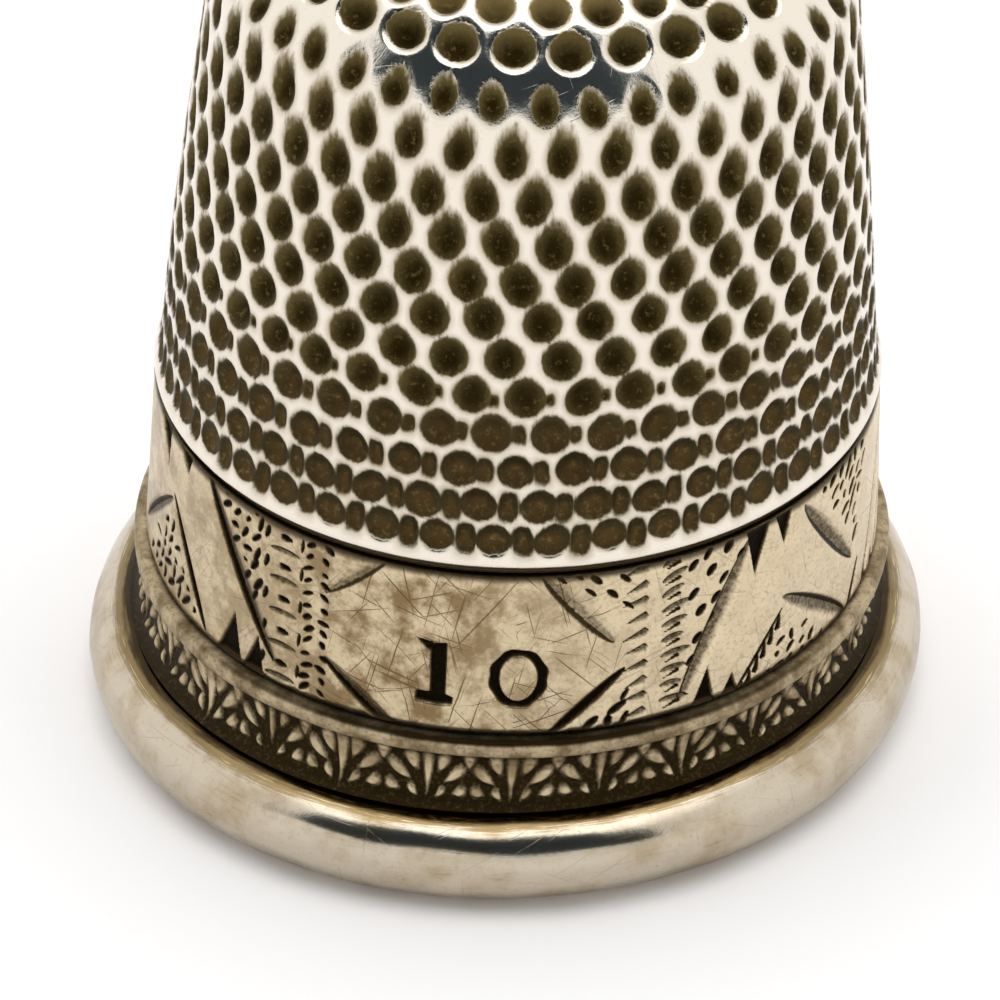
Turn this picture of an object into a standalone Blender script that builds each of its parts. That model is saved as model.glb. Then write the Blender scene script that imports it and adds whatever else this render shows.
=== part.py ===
"""A sterling silver sewing thimble: a dimpled cup, an engraved band, a palmette border and a heavy rim.

The thimble stands mouth down on its rim. The axis is +Z, the rest plane is z = 0 and the front, with
the plain cartouche, faces -Y. Every length below is in millimetres and becomes metres in make_object.
"""

import math

import bmesh
import bpy

MM = 0.001

# ---- fits ------------------------------------------------------------------------------------
SOLDER_GAP = 0.06  # clearance left between soldered pieces
SKIRT_RADIUS = 8.60  # outside of the plain skirt that the bands are soldered to
SLEEVE_RADIUS = SKIRT_RADIUS + SOLDER_GAP  # inside of every piece on the skirt

# ---- rim ring: a thick round wire with a flat foot ----------------------------------------------
RIM_WIRE_RADIUS = 1.22
RIM_CENTRE_RADIUS = 9.18
RIM_FOOT_HALF_WIDTH = 0.42  # half of the flat that the thimble stands on
RIM_STEPS = 96
RIM_SECTION_POINTS = 11

# ---- palmette border: a cove under a plain fillet ----------------------------------------------
BORDER_BOTTOM = 2 * RIM_WIRE_RADIUS + 0.02
BORDER_TOP = 4.34
PALMETTES = 27
COLUMNS_PER_PALMETTE = 6
PALMETTE_RELIEF = 0.08
# (height, radius, share of the palmette relief)
BORDER_SECTION = (
    (BORDER_BOTTOM, 9.40, 0.0),
    (2.60, 9.22, 0.4),
    (2.90, 9.13, 1.0),
    (3.30, 9.13, 1.0),
    (3.66, 9.20, 0.5),
    (3.86, 9.28, 0.0),
    (4.04, 9.35, 0.0),
    (4.22, 9.33, 0.0),
    (BORDER_TOP, 9.25, 0.0),
)

# ---- engraved band ----------------------------------------------------------------------------
BAND_BOTTOM = BORDER_TOP + SOLDER_GAP
BAND_TOP = 8.94
BAND_RADIUS_BOTTOM = 9.07
BAND_RADIUS_TOP = 8.87
BAND_STEPS = 120
BAND_EDGE_CHAMFER = 0.06
CARTOUCHE_ANGLE = math.radians(-6.3)  # its middle, a little to the left of the front
CARTOUCHE_HALF_ANGLE = math.radians(23.4)
CARTOUCHE_CUT_ANGLE = math.radians(11.3)  # how much the cut corners take off at the band's edges
CARTOUCHE_CUT_START = 0.4  # the cuts begin at this share of the way from mid height to an edge
CARTOUCHE_INSET = 0.05  # the engraved ground lies this much below the plain cartouche

# ---- dimpled shell -------------------------------------------------------------------------------
SHELL_FOOT = 0.40  # the skirt stops just above the rest plane
SKIRT_TOP = 9.04
# (height, radius) of the turned collar bead
BEAD_SECTION = ((9.18, 8.82), (9.26, 8.88), (9.46, 8.88), (9.56, 8.84))
# (height, radius) of the outside, from the bead's top edge over the shoulder to the crown
OUTSIDE = (
    (9.64, 8.77),
    (9.93, 8.74),
    (11.81, 8.58),
    (14.77, 8.30),
    (17.81, 7.97),
    (20.09, 7.70),
    (20.68, 7.60),
    (21.17, 7.40),
    (21.62, 7.06),
    (22.16, 6.57),
    (22.69, 5.97),
    (23.21, 5.13),
    (23.76, 3.79),
    (24.16, 2.10),
    (24.31, 0.00),
)
COLUMNS = 40  # dimples in each row of the wall
ROW_HEIGHTS = (9.93, 10.85, 11.81, 12.81, 13.78, 14.77, 15.77, 16.78, 17.81, 18.89, 20.09, 21.17)
ROW_TWIST = math.radians(-3.7)  # each row is turned this much against the row below
FIRST_ROW_ANGLE = math.radians(-3.3)
WALL_DIMPLE_DEPTH = 0.26
# (radius, dimples) of the rows on the shoulder and the crown
CROWN_ROWS = ((6.57, 31), (5.80, 30), (4.78, 25), (3.70, 19), (2.60, 13), (1.45, 7))
CROWN_DIMPLE_DEPTH = 0.20
# (height, radius) of the inside, from the mouth to the top
INSIDE = (
    (SHELL_FOOT, 8.22),
    (9.26, 8.18),
    (14.77, 7.68),
    (20.09, 7.09),
    (20.92, 6.87),
    (21.52, 6.43),
    (22.12, 5.70),
    (22.67, 4.77),
    (23.17, 3.49),
    (23.52, 1.80),
)
INSIDE_TOP = 23.67
SHELL_STEPS = 2 * COLUMNS

FRONT = -math.pi / 2  # the angle of the front, -Y

# ---- finishes: base colour, roughness --------------------------------------------------------------
FINISHES = {
    "dimpled_shell": ((0.78, 0.74, 0.66), 0.26),
    "engraved_band": ((0.66, 0.60, 0.50), 0.38),
    "palmette_border": ((0.58, 0.51, 0.40), 0.40),
    "rim_ring": ((0.74, 0.71, 0.66), 0.34),
}


def silver(name):
    """A Principled material in the finish of the named piece."""
    colour, roughness = FINISHES[name]
    material = bpy.data.materials.new(name + "_silver")
    material.use_nodes = True
    shader = material.node_tree.nodes["Principled BSDF"]
    shader.inputs["Base Color"].default_value = (*colour, 1.0)
    shader.inputs["Metallic"].default_value = 1.0
    shader.inputs["Roughness"].default_value = roughness
    return material


def interpolate(pairs, x):
    """The second value of the sorted pairs at x, along straight lines between them."""
    for (x0, y0), (x1, y1) in zip(pairs, pairs[1:]):
        if x <= x1:
            return y0 + (y1 - y0) * (x - x0) / (x1 - x0)
    return pairs[-1][1]


class Lathe:
    """Closed rings of vertices around Z, joined one to the next into a skin."""

    def __init__(self):
        self.mesh = bmesh.new()

    def ring(self, radii, heights, start=0.0):
        """A closed ring with one vertex for each radius, as (angle from start, vertex) pairs."""
        count = len(radii)
        made = []
        for index in range(count):
            turn = 2 * math.pi * index / count
            angle = FRONT + start + turn
            where = (radii[index] * math.cos(angle), radii[index] * math.sin(angle), heights[index])
            made.append((start + turn, self.mesh.verts.new(where)))
        return made

    def plain_ring(self, radius, height, count, start=0.0):
        return self.ring([radius] * count, [height] * count, start)

    def join(self, first, second):
        """Triangles between two rings that may differ in vertex count, walking round both together."""
        full = 2 * math.pi
        second = self.turned_to(second, first[0][0])
        i, j = 0, 0
        while i < len(first) or j < len(second):
            a = first[i % len(first)][1]
            b = second[j % len(second)][1]
            next_a = first[(i + 1) % len(first)][0] + full * ((i + 1) // len(first))
            next_b = second[(j + 1) % len(second)][0] + full * ((j + 1) // len(second))
            if j == len(second) or (i < len(first) and next_a <= next_b):
                i += 1
                self.mesh.faces.new((a, first[i % len(first)][1], b))
            else:
                j += 1
                self.mesh.faces.new((a, second[j % len(second)][1], b))

    @staticmethod
    def turned_to(ring, angle):
        """The same ring, started from its vertex nearest to the angle, with angles that rise from there."""
        full = 2 * math.pi
        nearest = min(
            range(len(ring)),
            key=lambda k: abs((ring[k][0] - angle + math.pi) % full - math.pi),
        )
        shifted = ring[nearest:] + ring[:nearest]
        begin = angle + (shifted[0][0] - angle + math.pi) % full - math.pi
        step = full / len(ring)
        return [(begin + step * k, vertex) for k, (_, vertex) in enumerate(shifted)]

    def cap(self, ring, height):
        """Closes a ring with a fan to a point on the axis."""
        tip = self.mesh.verts.new((0.0, 0.0, height))
        for k, (_, vertex) in enumerate(ring):
            self.mesh.faces.new((vertex, ring[(k + 1) % len(ring)][1], tip))


def make_object(name, lathe, parent):
    """Turns the skin into a named object in metres, with its faces outwards and its own finish."""
    bmesh.ops.recalc_face_normals(lathe.mesh, faces=lathe.mesh.faces)
    bmesh.ops.scale(lathe.mesh, vec=(MM, MM, MM), verts=lathe.mesh.verts)
    data = bpy.data.meshes.new(name)
    lathe.mesh.to_mesh(data)
    lathe.mesh.free()
    data.materials.append(silver(name))
    made = bpy.data.objects.new(name, data)
    made.parent = parent
    bpy.context.scene.collection.objects.link(made)
    return made


def turned_ring(rings, lathe):
    """Joins each ring to the next, and the last to the first."""
    for first, second in zip(rings, rings[1:] + rings[:1]):
        lathe.join(first, second)


def rim_ring(parent):
    """The rim: a round wire, flat where it stands and where it meets the skirt."""
    lathe = Lathe()
    foot_height = RIM_WIRE_RADIUS - math.sqrt(RIM_WIRE_RADIUS**2 - RIM_FOOT_HALF_WIDTH**2)
    centre_height = RIM_WIRE_RADIUS - foot_height
    lowest = -math.pi / 2 + math.asin(RIM_FOOT_HALF_WIDTH / RIM_WIRE_RADIUS)
    inner_half_height = math.sqrt(RIM_WIRE_RADIUS**2 - (RIM_CENTRE_RADIUS - SLEEVE_RADIUS) ** 2)
    highest = math.pi / 2 + math.asin((RIM_CENTRE_RADIUS - SLEEVE_RADIUS) / RIM_WIRE_RADIUS)
    rings = []
    for k in range(RIM_SECTION_POINTS):
        tilt = lowest + (highest - lowest) * k / (RIM_SECTION_POINTS - 1)
        radius = RIM_CENTRE_RADIUS + RIM_WIRE_RADIUS * math.cos(tilt)
        height = centre_height + RIM_WIRE_RADIUS * math.sin(tilt)
        rings.append(lathe.plain_ring(radius, height, RIM_STEPS))
    bottom_inner = centre_height - inner_half_height
    rings.append(lathe.plain_ring(SLEEVE_RADIUS, bottom_inner, RIM_STEPS))
    rings.append(lathe.plain_ring(RIM_CENTRE_RADIUS - RIM_FOOT_HALF_WIDTH, 0.0, RIM_STEPS))
    turned_ring(rings, lathe)
    return make_object("rim_ring", lathe, parent)


def palmette_border(parent):
    """The border: lobed palmettes in a cove, with a plain fillet above them."""
    lathe = Lathe()
    columns = PALMETTES * COLUMNS_PER_PALMETTE
    rings = []
    for height, radius, share in BORDER_SECTION:
        radii = []
        for column in range(columns):
            lobe = math.cos(2 * math.pi * column / COLUMNS_PER_PALMETTE)
            petal = math.cos(4 * math.pi * column / COLUMNS_PER_PALMETTE)
            radii.append(radius + PALMETTE_RELIEF * share * (0.6 * lobe + 0.4 * petal))
        rings.append(lathe.ring(radii, [height] * columns))
    rings.append(lathe.plain_ring(SLEEVE_RADIUS, BORDER_TOP, columns // 2))
    rings.append(lathe.plain_ring(SLEEVE_RADIUS, BORDER_BOTTOM, columns // 2))
    turned_ring(rings, lathe)
    return make_object("palmette_border", lathe, parent)


def cartouche_step(angle, height):
    """How far the band's surface stands in at this place: nothing on the cartouche, a step around it."""
    middle = (BAND_BOTTOM + BAND_TOP) / 2
    off = abs(height - middle) / ((BAND_TOP - BAND_BOTTOM) / 2)
    cut = max(0.0, off - CARTOUCHE_CUT_START) / (1.0 - CARTOUCHE_CUT_START)
    reach = CARTOUCHE_HALF_ANGLE - CARTOUCHE_CUT_ANGLE * cut
    turn = abs((angle - CARTOUCHE_ANGLE + math.pi) % (2 * math.pi) - math.pi)
    return 0.0 if turn <= reach else CARTOUCHE_INSET


def engraved_band(parent):
    """The band: a plain sleeve, with a cartouche standing slightly proud of its engraved ground."""
    lathe = Lathe()
    low_edge = BAND_BOTTOM + BAND_EDGE_CHAMFER
    high_edge = BAND_TOP - BAND_EDGE_CHAMFER
    quarter = (high_edge - low_edge) / 4
    rings = [lathe.plain_ring(BAND_RADIUS_BOTTOM - BAND_EDGE_CHAMFER, BAND_BOTTOM, BAND_STEPS)]
    for height in (low_edge, low_edge + quarter, high_edge - quarter, high_edge):
        share = (height - BAND_BOTTOM) / (BAND_TOP - BAND_BOTTOM)
        radius = BAND_RADIUS_BOTTOM + (BAND_RADIUS_TOP - BAND_RADIUS_BOTTOM) * share
        radii = []
        for column in range(BAND_STEPS):
            radii.append(radius - cartouche_step(2 * math.pi * column / BAND_STEPS, height))
        rings.append(lathe.ring(radii, [height] * BAND_STEPS))
    rings.append(lathe.plain_ring(BAND_RADIUS_TOP - BAND_EDGE_CHAMFER, BAND_TOP, BAND_STEPS))
    rings.append(lathe.plain_ring(SLEEVE_RADIUS, BAND_TOP, BAND_STEPS // 2))
    rings.append(lathe.plain_ring(SLEEVE_RADIUS, BAND_BOTTOM, BAND_STEPS // 2))
    turned_ring(rings, lathe)
    return make_object("engraved_band", lathe, parent)


def dimple_row(lathe, radius, height, count, start, depth, inwards):
    """A ring that alternates the bottom of a dimple and the land beside it."""
    radii, heights = [], []
    for k in range(2 * count):
        sunk = depth if k % 2 == 0 else 0.0
        radii.append(radius + inwards[0] * sunk)
        heights.append(height + inwards[1] * sunk)
    return lathe.ring(radii, heights, start)


def inward_normal(radius):
    """The unit direction into the metal, as (radial, axial), where the crown has this radius."""
    step = 0.05
    low = interpolate(CROWN_BY_RADIUS, radius - step)
    high = interpolate(CROWN_BY_RADIUS, radius + step)
    slope = (high - low) / (2 * step)
    length = math.hypot(1.0, slope)
    return (slope / length, -1.0 / length)


CROWN_BY_RADIUS = tuple((radius, height) for height, radius in reversed(OUTSIDE))


def dimpled_shell(parent):
    """The cup: skirt, collar bead, dimpled wall and crown outside, and a smooth finger hole inside."""
    lathe = Lathe()
    rings = [
        lathe.plain_ring(SKIRT_RADIUS, SHELL_FOOT, SHELL_STEPS),
        lathe.plain_ring(SKIRT_RADIUS, SKIRT_TOP, SHELL_STEPS),
    ]
    for height, radius in BEAD_SECTION:
        rings.append(lathe.plain_ring(radius, height, SHELL_STEPS))
    rings.append(lathe.plain_ring(OUTSIDE[0][1], OUTSIDE[0][0], SHELL_STEPS, FIRST_ROW_ANGLE))

    for row, height in enumerate(ROW_HEIGHTS):
        start = FIRST_ROW_ANGLE + row * ROW_TWIST
        radius = interpolate(OUTSIDE, height)
        into = (-1.0, 0.0)
        rings.append(dimple_row(lathe, radius, height, COLUMNS, start, WALL_DIMPLE_DEPTH, into))
        if row + 1 < len(ROW_HEIGHTS):
            ridge = (height + ROW_HEIGHTS[row + 1]) / 2
            rings.append(lathe.plain_ring(interpolate(OUTSIDE, ridge), ridge, SHELL_STEPS, start))

    below = interpolate(OUTSIDE, ROW_HEIGHTS[-1])
    for radius, count in CROWN_ROWS:
        ridge = (below + radius) / 2
        ridge_height = interpolate(CROWN_BY_RADIUS, ridge)
        rings.append(lathe.plain_ring(ridge, ridge_height, 2 * count))
        height = interpolate(CROWN_BY_RADIUS, radius)
        into = inward_normal(radius)
        rings.append(dimple_row(lathe, radius, height, count, 0.0, CROWN_DIMPLE_DEPTH, into))
        below = radius
    last_ridge = below / 2
    rings.append(lathe.plain_ring(last_ridge, interpolate(CROWN_BY_RADIUS, last_ridge), 8))
    lathe.cap(rings[-1], OUTSIDE[-1][0] - CROWN_DIMPLE_DEPTH)
    for first, second in zip(rings, rings[1:]):
        lathe.join(first, second)

    inside = [lathe.plain_ring(radius, height, SHELL_STEPS) for height, radius in INSIDE]
    lathe.join(rings[0], inside[0])
    for first, second in zip(inside, inside[1:]):
        lathe.join(first, second)
    lathe.cap(inside[-1], INSIDE_TOP)
    return make_object("dimpled_shell", lathe, parent)


def main():
    for old in list(bpy.data.objects):
        bpy.data.objects.remove(old, do_unlink=True)
    root = bpy.data.objects.new("thimble", None)
    bpy.context.scene.collection.objects.link(root)
    dimpled_shell(root)
    engraved_band(root)
    palmette_border(root)
    rim_ring(root)


main()
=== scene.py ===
"""Looks for the silver sewing thimble: fine meshes and worn-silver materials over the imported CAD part.

The thimble stands mouth down on z = 0 with its axis on +Z and its cartouche facing -Y. Lengths here are
in millimetres and angles in degrees round the axis from the front, positive to the viewer's right, unless
a name says otherwise. Skin.build turns millimetres into metres.
"""

import math

import bpy
import numpy as np
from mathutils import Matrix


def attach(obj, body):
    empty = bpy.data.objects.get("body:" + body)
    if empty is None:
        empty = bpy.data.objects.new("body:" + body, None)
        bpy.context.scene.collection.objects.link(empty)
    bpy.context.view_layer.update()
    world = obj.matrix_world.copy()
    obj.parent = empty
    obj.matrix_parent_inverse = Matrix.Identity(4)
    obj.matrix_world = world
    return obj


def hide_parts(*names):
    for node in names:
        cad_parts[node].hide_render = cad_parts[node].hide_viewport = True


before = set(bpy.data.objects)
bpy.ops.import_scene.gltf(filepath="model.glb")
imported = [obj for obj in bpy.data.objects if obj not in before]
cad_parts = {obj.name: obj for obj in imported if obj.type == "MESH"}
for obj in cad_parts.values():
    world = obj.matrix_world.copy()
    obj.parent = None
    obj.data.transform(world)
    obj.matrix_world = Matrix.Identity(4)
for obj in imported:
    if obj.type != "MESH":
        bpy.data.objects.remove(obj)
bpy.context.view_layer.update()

MM = 0.001
UV_NAME = "OFBake"

# ---- how the old thimble leans: its axis and its rows are no longer quite square to the rim
LEAN_BY_HEIGHT = ((0.0, 0.03), (2.4, 0.05), (4.0, 0.16), (6.0, 0.24), (9.5, 0.34), (13.0, 0.44), (21.0, 0.76))
TILT_BY_HEIGHT = ((2.4, 0.0), (5.0, 0.19), (9.6, 0.42), (13.0, 1.53), (17.0, 1.57), (21.0, 2.55))
RIM_FORWARD = 0.14  # the worn rim stands this much forward of the cup, and more so on its left
RIM_SKEW = 0.021
SKEW_HEIGHTS = (2.4, 4.0)  # it fades out between these heights

# ---- dimpled shell
SHELL_COLUMNS = 960
SHELL_STEP = 0.06
# (radius, height) down the outside, from the middle of the crown to the collar bead
CROWN_AND_WALL = (
    (0.00, 24.31), (2.10, 24.16), (3.79, 23.76), (5.13, 23.21), (5.97, 22.69), (6.57, 22.16), (7.04, 21.62),
    (7.36, 21.17), (7.55, 20.80), (7.66, 20.42), (7.71, 20.00), (7.97, 17.81), (8.30, 14.77), (8.58, 11.81),
    (8.735, 9.93), (8.755, 9.76), (8.785, 9.62), (8.825, 9.50), (8.86, 9.40), (8.875, 9.32), (8.865, 9.25),
)
BEAD_AND_SKIRT = (
    (8.82, 9.20), (8.76, 9.16), (8.74, 9.08), (8.73, 9.00), (8.62, 8.98), (8.60, 8.90), (8.60, 6.00),
    (8.60, 2.60), (8.60, 0.44), (8.56, 0.40), (8.26, 0.40),
)
FINGER_HOLE = (
    (8.22, 0.44), (8.22, 4.00), (8.18, 9.20), (7.68, 14.77), (7.09, 20.09), (6.87, 20.92), (6.43, 21.52),
    (5.70, 22.12), (4.77, 22.67), (3.49, 23.17), (1.80, 23.52), (0.00, 23.67),
)
FINGER_HOLE_STEP = 0.25
FINGER_HOLE_COARSENESS = 4  # its rings have this many times fewer columns than the outside
LAND_SWELL = 0.02  # the land between dimples stands up this much
POLE_RADIUS = 0.10  # the rings stop here and a fan closes the middle
FINEST_COLUMN = 0.022  # a ring closer to the axis has half as many columns, so that none is narrower

DIMPLES_PER_ROW = 40
# (height, phase, half width, half height above, half height below, depth, softness of the upper edge)
WALL_ROWS = (
    (9.93, -3.94, 0.435, 0.44, 0.35, 0.17, 0.04),
    (10.85, -6.37, 0.450, 0.45, 0.43, 0.25, 0.04),
    (11.81, -0.87, 0.460, 0.47, 0.45, 0.27, 0.05),
    (12.81, -4.72, 0.465, 0.49, 0.47, 0.28, 0.07),
    (13.78, 0.29, 0.465, 0.51, 0.48, 0.29, 0.09),
    (14.77, -3.52, 0.460, 0.52, 0.50, 0.29, 0.11),
    (15.77, -7.09, 0.450, 0.54, 0.51, 0.29, 0.13),
    (16.78, -1.65, 0.44, 0.57, 0.54, 0.28, 0.13),
    (17.81, -5.34, 0.42, 0.61, 0.56, 0.27, 0.16),
    (18.89, -0.11, 0.40, 0.64, 0.58, 0.25, 0.18),
    (20.09, -4.43, 0.36, 0.64, 0.56, 0.22, 0.18),
    (21.18, 0.95, 0.31, 0.46, 0.42, 0.16, 0.10),
)
# (radius, dimples, phase, half width, half height, depth)
CROWN_ROWS = (
    (6.55, 31, 6.77, 0.50, 0.46, 0.34),
    (5.80, 30, 2.63, 0.46, 0.44, 0.30),
    (4.78, 25, 0.0, 0.45, 0.45, 0.28),
    (3.70, 19, 4.0, 0.44, 0.44, 0.26),
    (2.60, 13, 9.0, 0.43, 0.43, 0.25),
    (1.45, 7, 15.0, 0.42, 0.42, 0.24),
)
# small square dimples struck to the right of the big ones: (row, turn, half width, half height, depth)
BETWEEN_DIMPLES = (
    (0, 4.50, 0.245, 0.38, 0.17),
    (1, 4.35, 0.230, 0.38, 0.17),
    (2, 4.10, 0.200, 0.32, 0.15),
    (3, 3.90, 0.170, 0.24, 0.12),
    (4, 3.70, 0.120, 0.16, 0.06),
)
PLACE_JITTER = 0.022
SIZE_JITTER = 0.03
DEPTH_JITTER = 0.08
LEAN_JITTER = 0.06
DIRT_SPREAD = 1.04  # the dirt reaches this share of the way to a dimple's edge
CROWN_DIRT_RISE = 0.07  # on the crown it reaches this much higher, and leaves the lower lips bright
HALO_REACH = 0.20  # the halo round a dimple, partly dirt and partly painted shade, thins out over this distance

# ---- engraved band
BAND_COLUMNS = 1560
BAND_STEP = 0.036
BAND_RADIUS = 9.045
BAND_TAPER = 0.17  # the band's radius is this much less at its top
BAND_BOTTOM = 4.40
BAND_TOP = 8.94
LONG_FLANK_TONE = 0.55  # painted shade: how dark the long flank of a slanting cut is against the steep one
DRAWING_TURN = -2.85  # the whole drawing is turned this much
DRAWING_FOOT = 4.28  # the height of the drawing's share 0, and the height that its share 1 adds
DRAWING_SPAN = 4.90
DRAWING_SLOPE = 0.20  # the drawing hangs this much lower at the right side of the band
SLEEVE_RADIUS = 8.66
THINNEST_BAND = 0.05  # no cut leaves less than this
CUT_DARKNESS = 1.7  # how soon the dirt in a cut is at its darkest on the way to the deepest line

# ---- palmette border
PALMETTES = 27
BORDER_COLUMNS = PALMETTES * 54
BORDER_STEP = 0.032
BORDER_SECTION = (
    (9.42, 2.46), (9.34, 2.50), (9.23, 2.60), (9.15, 2.78), (9.12, 3.05), (9.13, 3.35), (9.18, 3.62),
    (9.25, 3.80), (9.31, 3.90), (9.345, 4.02), (9.35, 4.14), (9.32, 4.26), (9.25, 4.335),
)
PALMETTE_FOOT = 2.40
PALMETTE_STRETCH = 1.17  # the petals are this much longer than in the list below
PALMETTE_TOP = 3.84
PALMETTE_RELIEF = 0.09
FILLET_SHADE = (4.19, 4.33)  # between these heights painted shade from the groove above thickens on the fillet
SIDE_SHADE = 0.25  # the share of it that is left at the two sides

# ---- rim
RIM_COLUMNS = 720
RIM_RADIUS = 9.18
RIM_WIRE = 1.22
RIM_WEAR = 0.028  # the wire is this much thinner than that, but for its foot, so that no dent stands proud
RIM_FOOT = 0.42
RIM_SECTION_POINTS = 110

# ---- camera
CAMERA_ELEVATION = 35.99
CAMERA_DISTANCE = 208.0
CAMERA_LENS = 302.6
CAMERA_TARGET = (-0.114, 0.0, 4.790)

random = np.random.default_rng(10)


def smoothstep(values, low, high):
    share = np.clip((values - low) / (high - low), 0.0, 1.0)
    return share * share * (3.0 - 2.0 * share)


def leaned(points):
    """The points of a square thimble moved to where they stand on this leaning one."""
    x, y, z = points[..., 0], points[..., 1], points[..., 2]
    heights, tilts = zip(*TILT_BY_HEIGHT)
    tilt = np.tan(np.radians(np.interp(z, heights, tilts)))
    heights, shifts = zip(*LEAN_BY_HEIGHT)
    aside = np.interp(z, heights, shifts)
    forward = (RIM_FORWARD - RIM_SKEW * x) * (1.0 - smoothstep(z, *SKEW_HEIGHTS))
    return np.stack([x + aside, y - forward, z - tilt * x], axis=-1)


def through(points, step):
    """A smooth curve through the (radius, height) points, as an array with a point about every step."""
    knots = np.array(points, float)
    padded = np.vstack([2 * knots[0] - knots[1], knots, 2 * knots[-1] - knots[-2]])
    chords = np.linalg.norm(np.diff(padded, axis=0), axis=1)[:, None]
    slopes = np.diff(padded, axis=0) / chords
    tangents = (slopes[:-1] * chords[1:] + slopes[1:] * chords[:-1]) / (chords[:-1] + chords[1:])
    pieces = []
    for start, end, leaving, arriving, chord in zip(knots, knots[1:], tangents, tangents[1:], chords[1:, 0]):
        count = max(1, round(chord / step))
        t = (np.arange(count) / count)[:, None]
        pieces.append(start * (1 - t)**2 * (1 + 2 * t) + end * t**2 * (3 - 2 * t)
                      + chord * t * (1 - t) * (leaving * (1 - t) - arriving * t))
    return np.vstack([*pieces, knots[-1:]])


def column_angles(count):
    return 360.0 * np.arange(count) / count


def linked(name, data):
    """A new object in the scene."""
    made = bpy.data.objects.new(name, data)
    bpy.context.scene.collection.objects.link(made)
    return made


def section_normals(section):
    """Unit normals of an open (radius, height) section that runs downwards on the outside."""
    along = np.gradient(section, axis=0)
    normals = np.stack([-along[:, 1], along[:, 0]], axis=1)
    return normals / np.linalg.norm(normals, axis=1, keepdims=True)


def arc_length(section):
    steps = np.hypot(*np.diff(section, axis=0).T)
    return np.concatenate([[0.0], np.cumsum(steps)])


class Skin:
    """A closed surface made of rings of vertices round the axis, with named values on the vertices."""

    def __init__(self, field_names):
        self.rings = []
        self.fields = {name: [] for name in field_names}

    def add(self, radii, heights, **fields):
        """Adds a ring, with a radius and a height for each column, from the front and counter-clockwise."""
        count = len(radii)
        angles = 2 * np.pi * np.arange(count) / count
        points = np.stack([radii * np.sin(angles), -radii * np.cos(angles), heights], axis=1)
        self.rings.append(points)
        for name, kept in self.fields.items():
            kept.append(np.broadcast_to(fields.get(name, 0.0), (count,)))

    def add_plain(self, radius, height, count, **fields):
        self.add(np.full(count, radius), np.full(count, height), **fields)

    def add_pole(self, height):
        self.rings.append(np.array([[0.0, 0.0, height]]))
        for kept in self.fields.values():
            kept.append(np.zeros(1))

    def faces_between(self, first, second):
        """Triangles between two rings, as (ring, column) pairs, facing outwards.

        The longer ring has a whole number of columns for each of the other's, or the other is a pole."""
        a, b = len(self.rings[first]), len(self.rings[second])
        if a < b:
            return self.faces_between(second, first)[:, ::-1]
        if b == 1:
            k = np.arange(a)
            return corners((first, k + 1), (first, k), (second, 0 * k))
        fan = a // b
        k = np.arange(b)
        parts = [corners((second, k), (second, k + 1), (first, fan * k + fan // 2))]
        for j in range(fan):
            apex = k if j < fan // 2 else k + 1
            parts.append(corners((first, fan * k + j + 1), (first, fan * k + j), (second, apex)))
        return np.vstack(parts)

    def build(self, name, material, looped):
        """Makes the object: joins each ring to the next, and the last to the first when looped."""
        counts = np.array([len(ring) for ring in self.rings])
        starts = np.concatenate([[0], np.cumsum(counts)[:-1]])
        pairs = [(k, k + 1) for k in range(len(self.rings) - 1)]
        if looped:
            pairs.append((len(self.rings) - 1, 0))
        faces = np.vstack([self.faces_between(*pair) for pair in pairs])
        ring, column = faces[..., 0], faces[..., 1]
        vertex = starts[ring] + column % counts[ring]

        data = bpy.data.meshes.new(name)
        points = leaned(np.vstack(self.rings)) * MM
        data.vertices.add(len(points))
        data.vertices.foreach_set("co", points.astype(np.float32).ravel())
        data.loops.add(vertex.size)
        data.loops.foreach_set("vertex_index", vertex.astype(np.int32).ravel())
        data.polygons.add(len(faces))
        data.polygons.foreach_set("loop_start", np.arange(0, vertex.size, 3, dtype=np.int32))
        data.polygons.foreach_set("use_smooth", np.ones(len(faces), bool))
        data.update(calc_edges=True)

        along = arc_length(np.array([(np.hypot(p[0, 0], p[0, 1]), p[0, 2]) for p in self.rings]))
        row = along[ring] / along[-1]
        if looped:
            last_pair = (ring == 0) & (ring.max(axis=1, keepdims=True) == len(self.rings) - 1)
            row = np.where(last_pair, 1.0, row)
        around = np.where(counts[ring] == 1, 0.5, column / np.maximum(counts[ring], 2))
        uv = data.uv_layers.new(name=UV_NAME)
        uv.data.foreach_set("uv", np.stack([around, row * 0.98 + 0.01], axis=-1).astype(np.float32).ravel())

        for field, kept in self.fields.items():
            attribute = data.attributes.new(field, "FLOAT", "POINT")
            attribute.data.foreach_set("value", np.concatenate(kept).astype(np.float32))
        data.materials.append(material)
        return linked(name, data)


def corners(*places):
    """Three (ring, columns) places as an array of triangles of (ring, column) pairs."""
    pairs = [np.stack([np.full_like(column, ring), column], axis=-1) for ring, column in places]
    return np.stack(pairs, axis=1)


# ==== Geometry


def cup_depth(q):
    """The share of a dimple's depth at q, its distance from the middle in half widths. The lip is rounded."""
    return (0.5 + 0.5 * np.cos(np.pi * np.clip(q / 1.16, 0.0, 1.0))) ** 0.72


def rounded(across, up, squareness):
    """How far out a place is in half widths: round at a squareness of 2, squarer above that."""
    return (np.abs(across) ** squareness + np.abs(up) ** squareness) ** (1.0 / squareness)


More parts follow.
